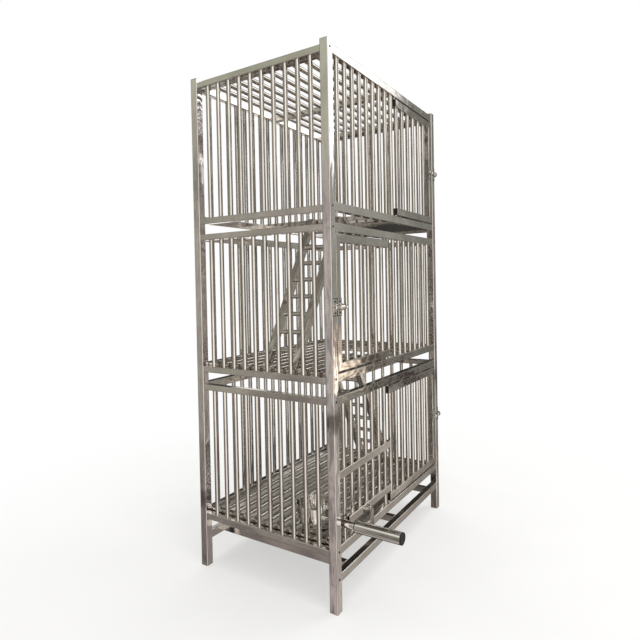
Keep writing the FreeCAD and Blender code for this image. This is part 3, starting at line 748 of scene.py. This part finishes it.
def build_handle():
    """Tube with an eased front edge and a turned-in back end, plug with a lip, and ring."""
    start, length, tube_r = handle_box("handle_tube")
    bore_r = tube_r - HANDLE_WALL
    tube = Solid()
    tube.lathe(start, 1, [(0.5 * MM, tube_r), (length - 2.5 * MM, tube_r),
                          (length - 0.7 * MM, tube_r - 0.8 * MM), (length, tube_r - 2.4 * MM),
                          (length, tube_r - 5 * MM), (length - 2 * MM, tube_r - 5 * MM),
                          (length - 2.5 * MM, bore_r), (0.0, bore_r), (0.0, tube_r - 0.5 * MM)],
               HANDLE_SIDES, closed=True)
    tube.piece("handle_tube_made", "feeder", "feeder_steel", ("handle_tube",), 30.0)

    start, length, _ = handle_box("handle_plug")
    plug = Solid()
    plug.lathe(start, 1, [(2.0 * MM, 0.5 * MM), (2.0 * MM, tube_r - 7 * MM), (0.4 * MM, tube_r - 5.5 * MM),
                          (0.0, tube_r - 4 * MM), (0.0, tube_r - 1.6 * MM), (0.5 * MM, tube_r - 0.5 * MM),
                          (1.6 * MM, tube_r), (PLUG_LIP, tube_r), (PLUG_LIP, tube_r - 1.6 * MM),
                          (length, tube_r - 1.8 * MM)], HANDLE_SIDES)
    plug.piece("handle_plug_made", "feeder", "black_plastic", ("handle_plug",), 40.0)

    start, _, ring_r = handle_box("handle_ring")
    ring = Solid()
    ring.lathe(start, 1, [(0.0, ring_r - 1.0 * MM), (1.0 * MM, ring_r), (3.0 * MM, ring_r),
                          (4.0 * MM, ring_r - 1.0 * MM)], 40)
    ring.piece("handle_ring_made", "feeder", "black_plastic", ("handle_ring",), 40.0)


build_bowl()
build_handle()

# ---- finishes on the CAD pieces that stay -------------------------------------------
for node, obj in NODES.items():
    if not obj.data.materials:
        obj.data.materials.append(plain_material(node))
    for index in range(len(obj.data.materials)):
        obj.data.materials[index] = plain_material(node)


# ---- floor, light, camera -----------------------------------------------------------
FLOOR_HALF = 9.0


def make_floor():
    """Pale floor whose edge fades into the white surroundings."""
    s = Shader("studio_floor")
    where = s.place()
    mottle = s.ramp(s.noise(where, 3.0, 4.0), 0.3, 0.7)
    s.link(s.mix(mottle, (0.86, 0.86, 0.86), (0.89, 0.89, 0.885)), s.surface.inputs["Base Color"])
    s.surface.inputs["Roughness"].default_value = 0.75
    s.surface.inputs["Specular IOR Level"].default_value = 0.1
    away = s.add("ShaderNodeVectorMath", operation="LENGTH")
    s.link(where, away.inputs[0])
    fade = s.ramp(away.outputs["Value"], 0.7, 2.2, 0.52, 1.0)
    glow = s.add("ShaderNodeEmission").outputs[0]
    s.link(s.blend(fade, s.surface.outputs[0], glow), s.tree.nodes["Material Output"].inputs["Surface"])
    mesh = bpy.data.meshes.new("studio_floor")
    corners = [(x * FLOOR_HALF, y * FLOOR_HALF, 0.0) for x, y in ((-1, -1), (1, -1), (1, 1), (-1, 1))]
    mesh.from_pydata(corners, [], [(0, 1, 2, 3)])
    floor = bpy.data.objects.new("studio_floor", mesh)
    floor.data.materials.append(s.material)
    floor.visible_glossy = False
    bpy.context.scene.collection.objects.link(floor)


# the room that the steel reflects, at eye level and below it: degrees counter-clockwise from +X,
# and the light that comes from there
WALLS = (
    (-180.0, (0.50, 0.48, 0.44)), (-170.0, (0.86, 0.83, 0.77)), (-156.0, (1.16, 1.12, 1.05)),
    (-119.0, (1.16, 1.12, 1.05)), (-104.0, (0.74, 0.71, 0.66)), (-89.0, (0.12, 0.112, 0.10)),
    (-68.0, (0.05, 0.046, 0.041)), (-50.0, (0.21, 0.20, 0.18)), (-34.0, (0.40, 0.40, 0.365)),
    (-26.0, (0.29, 0.29, 0.265)), (-18.0, (0.19, 0.19, 0.17)), (0.0, (0.07, 0.067, 0.06)),
    (38.0, (0.04, 0.038, 0.034)), (64.0, (0.10, 0.095, 0.086)), (92.0, (0.11, 0.105, 0.095)),
    (108.0, (0.10, 0.095, 0.085)), (120.0, (0.14, 0.13, 0.115)), (134.0, (0.33, 0.32, 0.275)),
    (149.0, (0.42, 0.395, 0.365)), (160.0, (0.15, 0.14, 0.127)), (171.0, (0.13, 0.12, 0.11)),
    (179.9, (0.50, 0.48, 0.44)),
)
GROUND = (
    (-180.0, (0.34, 0.32, 0.295)), (-168.0, (0.66, 0.62, 0.575)), (-152.0, (1.04, 0.98, 0.91)),
    (-119.0, (1.12, 1.06, 0.99)), (-104.0, (0.62, 0.58, 0.54)), (-90.0, (0.075, 0.068, 0.062)),
    (-68.0, (0.03, 0.027, 0.024)), (-50.0, (0.24, 0.22, 0.20)), (-36.0, (0.56, 0.52, 0.475)),
    (-27.0, (0.48, 0.445, 0.40)), (-19.0, (0.24, 0.22, 0.20)), (10.0, (0.05, 0.045, 0.04)),
    (38.0, (0.035, 0.032, 0.029)), (64.0, (0.08, 0.074, 0.067)), (92.0, (0.09, 0.083, 0.075)),
    (110.0, (0.07, 0.063, 0.057)), (126.0, (0.13, 0.117, 0.106)), (138.0, (0.24, 0.215, 0.20)),
    (150.0, (0.38, 0.335, 0.32)), (159.0, (0.11, 0.10, 0.09)), (170.0, (0.07, 0.063, 0.057)),
    (179.9, (0.34, 0.32, 0.295)),
)
CEILING = (0.22, 0.21, 0.19)
# softboxes and dark doorways: azimuth, elevation, half-width of the core and of the fade, light
PATCHES = (
    (-38.0, 25.0, 11.0, 16.0, (2.2, 2.2, 2.15)),
    (-140.0, 22.0, 6.0, 16.0, (1.5, 1.47, 1.40)),
    (140.0, 28.0, 10.0, 20.0, (0.47, 0.48, 0.39)),
    (42.0, -9.0, 8.0, 13.0, (1.15, 1.13, 1.07)),
    (45.0, 36.0, 5.0, 12.0, (1.9, 1.88, 1.80)),
    (100.0, 56.0, 8.0, 16.0, (0.07, 0.07, 0.065)),
    (150.0, 44.0, 6.0, 14.0, (0.95, 0.93, 0.86)),
    (131.0, -38.0, 6.0, 14.0, (0.08, 0.07, 0.065)),
    (109.0, -60.0, 8.0, 20.0, (0.55, 0.52, 0.47)),
    (0.0, 86.0, 12.0, 26.0, (1.1, 1.08, 1.02)),
    (-23.5, -8.8, 2.0, 5.0, (0.20, 0.195, 0.175)),
    (-27.2, -10.6, 1.6, 2.3, (0.05, 0.055, 0.047)),
    (-26.6, -8.0, 1.0, 1.7, (0.08, 0.07, 0.06)),
    (-23.0, -10.2, 1.0, 1.7, (0.045, 0.03, 0.03)),
    (-30.4, -9.5, 1.7, 2.3, (2.0, 1.72, 1.42)),
    (-31.2, -6.4, 0.9, 2.4, (0.95, 0.72, 0.56)),
)


def round_the_room(s, turn, stops):
    ramp = s.add("ShaderNodeValToRGB")
    ramp.color_ramp.interpolation = "EASE"
    while len(ramp.color_ramp.elements) < len(stops):
        ramp.color_ramp.elements.new(0.5)
    for element, (degrees, colour) in zip(ramp.color_ramp.elements, stops):
        element.position = (degrees + 180.0) / 360.0
        element.color = colour + (1.0,)
    s.link(turn, ramp.inputs["Fac"])
    return ramp.outputs["Color"]


def direction(azimuth, elevation):
    """Unit vector for an azimuth and an elevation in degrees."""
    azimuth, elevation = math.radians(azimuth), math.radians(elevation)
    return Vector((math.cos(elevation) * math.cos(azimuth), math.cos(elevation) * math.sin(azimuth),
                   math.sin(elevation)))


def patch_mask(s, coord, azimuth, elevation, inner, outer):
    """1 within the inner angle of a direction and 0 beyond the outer one."""
    dot = s.add("ShaderNodeVectorMath", operation="DOT_PRODUCT")
    s.link(coord, dot.inputs[0])
    dot.inputs[1].default_value = direction(azimuth, elevation)
    return s.ramp(dot.outputs["Value"], math.cos(math.radians(outer)), math.cos(math.radians(inner)))


def make_world():
    """White surroundings to the eye; in the reflections, a workshop with pale and dark walls."""
    world = bpy.data.worlds.new("studio")
    bpy.context.scene.world = world
    world.use_nodes = True
    s = NodeTree(world.node_tree)
    s.tree.nodes.clear()
    coord = s.add("ShaderNodeTexCoord").outputs["Generated"]
    toward = s.xyz(coord)
    turn = s.add("ShaderNodeMapRange")
    turn.inputs["From Min"].default_value = -math.pi
    turn.inputs["From Max"].default_value = math.pi
    s.link(s.math("ARCTAN2", toward["Y"], toward["X"]), turn.inputs["Value"])
    turn = turn.outputs["Result"]

    colour = round_the_room(s, turn, WALLS)
    colour = s.mix(s.ramp(toward["Z"], -0.12, -0.36), colour, round_the_room(s, turn, GROUND))
    colour = s.mix(s.ramp(toward["Z"], 0.42, 0.8), colour, CEILING)
    clutter = s.noise(s.stretched(coord, (6.0, 6.0, 1.6)), 1.6, 4.0, 0.5)
    scale = s.add("ShaderNodeVectorMath", operation="SCALE")
    s.link(colour, scale.inputs[0])
    s.link(s.ramp(clutter, 0.36, 0.64, 0.70, 1.28), scale.inputs["Scale"])
    colour = scale.outputs["Vector"]
    for azimuth, elevation, inner, outer, tint in PATCHES:
        colour = s.mix(patch_mask(s, coord, azimuth, elevation, inner, outer), colour, tint)

    white = s.add("ShaderNodeBackground")
    white.inputs["Color"].default_value = (1.0, 1.0, 1.0, 1.0)
    room = s.add("ShaderNodeBackground")
    s.link(colour, room.inputs["Color"])
    seen = s.add("ShaderNodeLightPath").outputs["Is Camera Ray"]
    both = s.blend(seen, room.outputs[0], white.outputs[0])
    s.link(both, s.add("ShaderNodeOutputWorld").inputs["Surface"])


def area_light(name, place, target, size, power, colour=(1.0, 1.0, 1.0)):
    """Square soft light that the steel doesn't mirror."""
    data = bpy.data.lights.new(name, "AREA")
    data.shape = "RECTANGLE"
    data.size = data.size_y = size
    data.energy = power
    data.color = colour
    light = bpy.data.objects.new(name, data)
    bpy.context.scene.collection.objects.link(light)
    light.location = place
    light.rotation_euler = (Vector(target) - Vector(place)).to_track_quat("-Z", "Y").to_euler()
    light.visible_glossy = False


EYE = (-1.848, -1.023, 1.043)
AZIMUTH, ELEVATION, ROLL = 32.89, -1.08, -1.11      # of the view's direction, in degrees


def make_camera():
    """Eye-level view from the front left."""
    forward = direction(AZIMUTH, ELEVATION)
    right = Vector((math.sin(math.radians(AZIMUTH)), -math.cos(math.radians(AZIMUTH)), 0.0))
    up = right.cross(forward)
    roll = math.radians(ROLL)
    turned_right = math.cos(roll) * right + math.sin(roll) * up
    turned_up = -math.sin(roll) * right + math.cos(roll) * up
    data = bpy.data.cameras.new("camera")
    data.lens = 29.31
    data.sensor_width = 36.0
    data.shift_x = 0.0094
    data.shift_y = -0.0422
    data.clip_start = 0.05
    camera = bpy.data.objects.new("camera", data)
    bpy.context.scene.collection.objects.link(camera)
    rotation = Matrix((turned_right, turned_up, -forward)).transposed()
    camera.matrix_world = Matrix.Translation(EYE) @ rotation.to_4x4()
    bpy.context.scene.camera = camera


make_floor()
make_world()
area_light("key", (-2.2, -3.2, 3.4), (0, 0, 0.6), 3.0, 70.0, (1.0, 0.985, 0.96))
area_light("fill", (3.4, -2.6, 2.6), (0, 0, 0.6), 3.0, 45.0)
area_light("top", (0.2, 0.4, 4.6), (0, 0, 0.0), 5.0, 150.0)
make_camera()
bpy.context.scene.view_settings.view_transform = "Standard"
